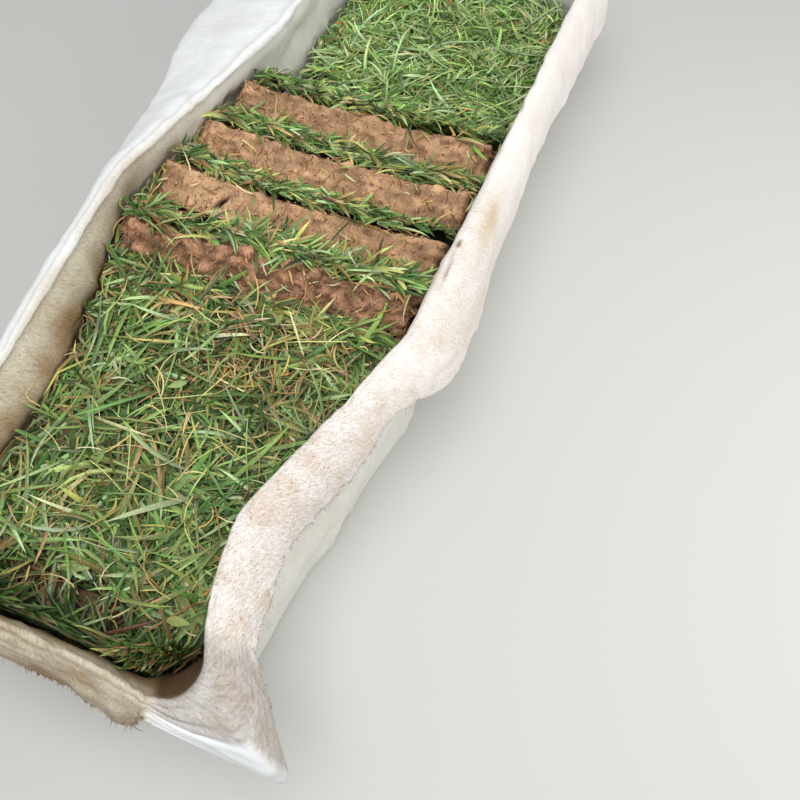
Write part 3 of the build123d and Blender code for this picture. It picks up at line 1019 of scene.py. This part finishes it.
def near_turf():
    rng = draws(0)
    for row in (1, 2):
        for layer in (1, 2):
            node = f"turf_near_{layer}_{row}"
            soil_block(node, *flat_slab(node, seed=100 + 10 * layer + row))
        node = f"turf_near_3_{row}"
        low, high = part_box(node)
        slope = NEAR_SLOPE if row == 1 else 0.0
        points, quads, tone = flat_slab(node, cell=0.0052, roughness=1.3, seed=200 + row, slope=slope)
        soil_block(node, points, quads, blend(tone, SOIL_MID * 0.62, np.clip(bare(points) * 2, 0, 1)[:, None]))
        top = high.z - SWARD
        start, end = low.y + slope + 0.004, high.y - (0.004 if row == 2 else -0.002)
        # The blades under the top ones are darkened with painted shade, the top blades only a little
        places = growing(scatter(rng, 700, start, end, top + 0.003), rng)
        mat(f"{node}_grass", places, 10 + row, turned_from_edges(places, rng), per_tuft=5, length=0.046,
            width=0.0036, fan=0.55, dry=0.12, painted_shading=0.43, shape=COVERED)
        places = scatter(rng, 270, start + 0.004, end - 0.004, top + 0.008)
        places[:, 2] += rng.uniform(0, 0.005, len(places))
        places = growing(places, rng)
        mat(f"{node}_top_blades", places, 20 + row, turned_from_edges(places, rng), length=0.060, width=0.0041,
            rise=(-0.12, 0.30), droop=(0.1, 0.7), fan=0.9, weights=(24, 16, 28, 18, 14), dry=0.06, painted_shading=0.98)


def notch_grass():
    """Blades that lie along the notch between the flat turf and the first slab on edge."""
    rng = draws(25)
    _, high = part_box("turf_near_3_2")
    for name, count, height, dry in (("low", 110, high.z - 0.016, 0.3), ("high", 90, high.z - 0.006, 0.15)):
        places = scatter(rng, count, high.y - 0.006, high.y + 0.008, height)
        places[:, 1] += slab_sag(places[:, 0], 0)
        mat(f"turf_near_3_2_edge_{name}", places, 26 + count, either_way(rng, count, 0.5, 0.4),
            rise=(-0.1, 0.35), dry=dry)


def hollow_grass():
    """The lower slabs' grass, which shows in the hollow behind the near rim, darkened with painted shade."""
    rng = draws(31)
    for layer, count in ((2, 150), (1, 60)):
        low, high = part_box(f"turf_near_{layer}_1")
        x = rng.uniform(low.x + 0.02, high.x - 0.01, count)
        places = xyz(x, low.y + rng.uniform(-0.004, 0.012, count), high.z - 0.014)
        mat(f"turf_near_{layer}_1_grass", places, 33 + layer, either_way(rng, count, 0.6, 0.5, pi), per_tuft=5,
            length=0.046, width=0.0036, rise=(0.0, 0.6), weights=(34, 40, 8, 0, 8), dry=0.10, painted_shading=0.4)


def leaning_turf():
    """The slabs on edge: soil, the grass behind each cut edge, hair roots and crumbs."""
    rng = draws(50)
    for index in range(LEANING):
        node = f"turf_leaning_{index + 1}"
        points, quads, tone, normal, cut, low = leaning_slab(index, 300 + 20 * index)
        soil_block(node, points, quads, tone)
        strip_grass(index, node, low, rng)
        hair_roots(node, points, normal, cut, rng)
        loose_crumbs(index, node, points, normal, cut, tone, rng)


def on_slab(index, low, past_soil, depth, rng):
    """Places on a slab on edge, this far past its soil and this far down it, between the sack's walls."""
    a = SOIL + past_soil
    y = low.y + a * sin(LEAN) + depth * cos(LEAN)
    z = LEAN_TOP + a * cos(LEAN) - depth * sin(LEAN)
    x = across(rng.random(len(y)), y, z, 0.010, 0.010)
    end_drop = end_rounding(index, x, y)
    return xyz(x, y + slab_sag(x, index) + end_drop * cos(LEAN), z - end_drop * sin(LEAN))


def strip_grass(index, node, low, rng):
    """Grass on the far face of a slab on edge. Only its upper end shows, but for the last slab's face."""
    last = index == LEANING - 1
    # Most blades lie along the strip, behind the sharp edge of the soil
    count, long, messy = STRIPS[index]
    places = on_slab(index, low, rng.uniform(0.007, 0.019, count), rng.uniform(0.006, 0.014, count), rng)
    patchy = noise(places * (1, 0, 0) + index, 0.035, SEED + 6)
    from_wall = places[:, 0] - side_at(-1, places[:, 1], places[:, 2], 0.0)
    keep = (patchy > rng.uniform(-1.1, 0.1, count)) & (from_wall > rng.uniform(0.012, 0.040, count))
    # The strips thin out to the right, and the nearest one over the smooth soil at its left
    chance = 1 - (0.70 if index == 1 else 0.45) * ease(places[:, 0] / 0.12)
    if index == 0:
        chance = chance * (1 - 0.85 * bump(places[:, 0], -0.085, 0.055))
    places = places[keep & (rng.random(count) < chance)]
    count = len(places)
    along = np.arctan(0.030 + 0.52 * places[:, 0])
    aside = np.abs(rng.normal(0, messy, count))
    mat(f"{node}_grass", places, 60 + index, np.where(rng.random(count) < 0.7, along + aside, along + pi - aside),
        length=long, fan=messy * 0.8, rise=(-0.20, 0.28), droop=(0.1, 0.8), weights=(28, 18, 22, 14, 22), dry=0.14)
    # The others lie down the far face, into the hollow before the next slab
    count = 460 if last else round(count * 0.35)
    depth = rng.uniform(0.010, 0.088, count) if last else rng.uniform(0.008, 0.018, count)
    places = on_slab(index, low, rng.uniform(0.012, 0.018, count), depth, rng)
    mat(f"{node}_far_grass", places, 65 + index, rng.normal(pi / 2, 0.6, count), length=0.034 if last else 0.022,
        rise=(-0.7, -0.1), droop=(0.1, 0.6), weights=(28, 20, 20, 14, 20), dry=0.10)
    # A few longer blades and straws fall over the soil
    few = 14 if index == 0 else 6
    places = on_slab(index, low, rng.uniform(0.0, 0.006, few), np.full(few, 0.001), rng)
    mat(f"{node}_stray_blades", places, 70 + index, rng.normal(-0.4, 1.3, few), per_tuft=2, length=0.036,
        width=0.0030, rise=(0.0, 0.6), droop=(0.5, 1.4), fan=0.55, dry=0.4)


def hair_roots(node, points, normal, cut, rng):
    """Hair roots and bits of straw pressed into the cut soil."""
    count = 560
    pick = rng.choice(cut, count)
    down = rng.random(count) < 0.7
    heading = np.where(down, rng.normal(-pi / 2, 0.5, count), rng.uniform(-pi, pi, count))
    rise = np.where(down, rng.normal(-0.62, 0.2, count), rng.normal(0.1, 0.3, count))
    length = rng.gamma(3, 0.0022, count) + 0.002
    width = rng.uniform(0.0004, 0.0011, count)
    colours = mix_colours(rng, count, ROOTS, (4, 4, 2, 3))
    ribbons(f"{node}_roots", points[pick] + normal[pick] * 0.0004, heading, rise, rng.normal(0, 0.6, count),
            rng.normal(0, 0.9, count), length, width, rng.normal(0, 0.5, count), colours, straw, (1, 1, 0.8),
            inside=inside_sack(CLEARANCE), painted_root_shade=1.0)
    count = 90
    pick = rng.choice(cut, count)
    ribbons(f"{node}_straw", points[pick] + normal[pick] * 0.0012, rng.uniform(-pi, pi, count),
            rng.normal(-0.1, 0.4, count), rng.normal(0, 0.6, count), rng.normal(0, 0.7, count),
            rng.gamma(4, 0.0042, count) + 0.006, rng.uniform(0.0012, 0.0028, count), rng.normal(0, 0.6, count),
            mix_colours(rng, count, DRY, (4, 4, 2, 3)), straw, (0.9, 1, 0.8), inside=inside_sack(CLEARANCE))


def loose_crumbs(index, node, points, normal, cut, tone, rng):
    """Grains and clods that lie on the cut soil, more and larger ones on the first slab."""
    count, larger = (520, 1.35) if index == 0 else (260, 1)
    pick = rng.choice(cut, count)
    sizes = np.clip(rng.gamma(2.2, 0.0011, count), 0.0010, 0.0090) * larger
    centres = points[pick] + normal[pick] * (sizes * 0.2)[:, None] + rng.normal(0, 0.0008, (count, 3))
    tone = np.clip(tone[pick] * rng.uniform(0.75, 1.12, (count, 1)), 0, 1)
    crumbs(f"{node}_crumbs", centres, sizes, tone, 80 + index)


def far_turf():
    rng = draws(90)
    soil_block("turf_far_1", *flat_slab("turf_far_1", seed=400))
    soil_block("turf_far_2", *flat_slab("turf_far_2", cell=0.006, seed=410))
    low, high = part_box("turf_far_2")
    top = high.z - SWARD
    # Both far mats are brightened with painted light
    places = scatter(rng, 1300, low.y - 0.006, high.y - 0.002, top + 0.003)
    mat("turf_far_2_grass", places, 91, per_tuft=5, length=0.042, width=0.0032, rise=(0.0, 0.6), fan=0.55,
        weights=(26, 6, 36, 34, 6), dry=0.03, painted_shading=1.2, shape=COVERED)
    places = scatter(rng, 480, low.y - 0.02, high.y - 0.006, top + 0.010)
    mat("turf_far_2_top_blades", places, 92, length=0.050, width=0.0035, rise=(-0.05, 0.5), droop=(0.2, 0.9),
        fan=0.8, weights=(22, 3, 36, 38, 6), dry=0.03, painted_shading=1.2)


def near_edge_straw():
    """Dead runners and roots along the near cut edge, in the bare patch and on the near mat."""
    rng = draws(120)
    low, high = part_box("turf_near_3_1")
    on_edge, in_patch, on_mat = 170, 150, 260
    x = rng.uniform(low.x + 0.01, high.x - 0.01, on_edge)
    up = rng.uniform(0, 1, on_edge)
    edge = xyz(x, low.y + NEAR_SLOPE * up + rng.normal(0, 0.002, on_edge), high.z - 0.055 + 0.045 * up)
    patch = xyz(rng.normal(BARE_PATCH[0], BARE_SIZE[0] * 0.8, in_patch),
                rng.normal(BARE_PATCH[1], BARE_SIZE[1], in_patch), high.z - 0.008)
    over_mat = scatter(rng, on_mat, low.y, -0.1, high.z - 0.002)
    before_slab = scatter(rng, 130, -0.16, -0.11, high.z - 0.002)
    start = np.concatenate([edge, patch, over_mat, before_slab])
    count = len(start)
    heading = rng.uniform(-pi, pi, count)
    heading[:on_edge] = rng.normal(-pi / 2, 0.8, on_edge)
    rise = rng.normal(0.05, 0.3, count)
    rise[:on_edge] = rng.normal(-0.7, 0.5, on_edge)
    ribbons("dead_runners", start, heading, rise, rng.normal(0.2, 0.6, count), rng.normal(0, 0.9, count),
            np.clip(rng.normal(0.030, 0.012, count), 0.008, 0.07), rng.uniform(0.0009, 0.0026, count),
            rng.normal(0, 0.6, count), mix_colours(rng, count, DRY, (4, 4, 3, 2)), straw, inside=inside_sack(CLEARANCE))
    spots = np.concatenate([edge, patch, before_slab])
    count = 620
    pick = rng.choice(len(spots), count)
    sizes = np.clip(rng.gamma(2.2, 0.0014, count), 0.001, 0.010)
    tone = SOIL_MID * rng.uniform(0.5, 1.0, (count, 1))
    crumbs("edge_crumbs", spots[pick] + rng.normal(0, 0.002, (count, 3)), sizes, tone, 121)


def near_wall_at(x, clearance):
    """The y that keeps a clearance from the sack's near wall and its rounded corners."""
    past = np.maximum(np.maximum(x - NEAR_RIGHT, -NEAR_LEFT - x) + CORNER, 0)
    return NEAR_END + CORNER - np.sqrt(np.maximum((CORNER - clearance) ** 2 - past ** 2, 0))


def bits_along_walls():
    """Grass, straw and crumbs fallen along the left wall beside the slabs on edge, and against the near wall."""
    rng = draws(150)
    count = 230
    y = rng.uniform(-0.125, 0.205, count)
    z = rng.uniform(0.160, 0.184, count)
    left = xyz(side_at(-1, y, z, 0.003) + np.abs(rng.normal(0, 0.011, count)), y, z)
    # Darkened a little with painted shade
    mat("left_wall_grass", left, 151, rng.normal(1.9, 1.1, count), per_tuft=3, length=0.028, width=0.0030,
        rise=(0.1, 0.8), fan=0.6, weights=(28, 22, 20, 10, 22), dry=0.35, painted_shading=0.85)
    clods = 420
    pick = rng.choice(count, clods)
    sizes = np.clip(rng.gamma(2.6, 0.0016, clods), 0.0015, 0.011)
    tone = SOIL_MID * rng.uniform(0.7, 1.15, (clods, 1))
    crumbs("left_wall_crumbs", left[pick] + rng.normal(0, 0.003, (clods, 3)) + (0.004, 0, -0.003), sizes, tone, 152)
    # Against the near wall, darkened with painted shade
    count = 210
    x = rng.uniform(-0.115, 0.135, count)
    y = near_wall_at(x, 0.004) + np.abs(rng.normal(0, 0.005, count))
    places = xyz(x, y, rng.uniform(0.165, 0.196, count))
    mat("near_wall_grass", places, 153, either_way(rng, count, 0.5, 0.5), length=0.036, width=0.0030,
        rise=(0.05, 0.75), droop=(0.1, 0.7), fan=0.5, weights=(34, 40, 10, 2, 14), dry=0.15, painted_shading=0.42)
    # In the near right corner they stand against the cloth, which leans out there. They are darkened with painted shade
    count = 110
    turn = rng.uniform(-1.7, -0.6, count)
    radius = CORNER - rng.uniform(0.008, 0.020, count)
    places = xyz(NEAR_RIGHT - CORNER + radius * np.cos(turn), NEAR_END + CORNER + radius * np.sin(turn),
                 rng.uniform(0.184, 0.200, count))
    mat("near_corner_grass", places, 154, turn + rng.normal(0, 0.6, count), per_tuft=3, length=0.024, width=0.0032,
        rise=(0.95, 1.35), droop=(-0.05, 0.15), weights=(30, 30, 14, 6, 20), dry=0.35, clearance=-0.004, painted_shading=0.75)


def thin_stems():
    """Long thin stems, pale and curved, that lie on the mats."""
    rng = draws(140)
    start = np.concatenate([scatter(rng, 90, -0.45, -0.12, 0.199), scatter(rng, 55, 0.34, 0.59, 0.135)])
    count = len(start)
    colours = mix_colours(rng, count, STEMS, (4, 3, 2))
    ribbons("thin_stems", start, rng.uniform(-pi, pi, count), rng.uniform(-0.05, 0.25, count),
            rng.uniform(0.1, 0.6, count), rng.normal(0, 1.1, count), rng.uniform(0.030, 0.075, count),
            rng.uniform(0.0008, 0.0014, count), rng.normal(0, 0.6, count), colours, straw, (1, 1, 0.95, 0.9, 0.8),
            inside=inside_sack(CLEARANCE))


# Broad leaves of other plants: place, length, width and colour
LEAVES = (((0.008, -0.2345, 0.2075), 0.020, 0.010, (0.62, 0.72, 0.45)),
          ((0.060, -0.135, 0.2065), 0.016, 0.007, (0.55, 0.62, 0.34)),
          ((0.113, -0.452, 0.2065), 0.022, 0.009, (0.58, 0.62, 0.34)),
          ((-0.03, -0.33, 0.206), 0.018, 0.006, (0.46, 0.58, 0.30)),
          ((0.09, 0.40, 0.15), 0.018, 0.007, (0.62, 0.70, 0.42)))


def odd_leaves():
    rng = draws(130)
    places, lengths, widths, colours = (np.array(column) for column in zip(*LEAVES))
    count = len(LEAVES)
    ribbons("odd_leaves", places, rng.uniform(-pi, pi, count), np.full(count, 0.1), np.full(count, 0.25),
            rng.normal(0, 0.2, count), lengths, widths, rng.normal(0, 0.2, count), linear(colours), grass,
            (0.35, 0.8, 1, 0.85, 0.5), ridge=0.10)


# Floor, light and camera

def aimed(name, data, place, look):
    """A lamp or camera at a place, that looks along a direction."""
    holder = bpy.data.objects.new(name, data)
    holder.location = place
    holder.rotation_euler = look.to_track_quat("-Z", "Y").to_euler()
    bpy.context.scene.collection.objects.link(holder)
    return holder


def stage():
    bpy.ops.mesh.primitive_plane_add(size=FLOOR_SIZE, location=(0, 0, 0))
    floor = bpy.context.object
    floor.name = "floor"
    material, nodes, shader = new_material("floor", 0.9, 0.1)
    shader["Base Color"].default_value = (*linear(FLOOR_GREY), 1)
    floor.data.materials.append(material)
    world = bpy.data.worlds.new("soft")
    world.use_nodes = True
    background = world.node_tree.nodes["Background"].inputs
    background["Color"].default_value = (*WORLD_TINT, 1)
    background["Strength"].default_value = WORLD_LIGHT
    bpy.context.scene.world = world
    for name, place, aim, size, power in LAMPS:
        lamp = bpy.data.lights.new(name, "AREA")
        lamp.shape = "DISK"
        lamp.size = size
        lamp.energy = power
        lamp.color = LAMP_TINT
        aimed(name, lamp, place, Vector(aim) - Vector(place))


def camera():
    data = bpy.data.cameras.new("camera")
    data.sensor_width = SENSOR
    data.lens = LENS
    turn, steep = radians(TURN), radians(STEEP)
    look = Vector((-sin(turn) * cos(steep), cos(turn) * cos(steep), -sin(steep)))
    bpy.context.scene.camera = aimed("camera", data, CAMERA, look)


camera()
stage()
sack, sack_grid, sack_torn, sack_tone = make_sack()
frayed = fray(sack_grid, sack_torn, sack_tone)
near_turf()
notch_grass()
hollow_grass()
leaning_turf()
far_turf()
near_edge_straw()
bits_along_walls()
thin_stems()
odd_leaves()

bpy.context.scene.view_settings.view_transform = "Standard"
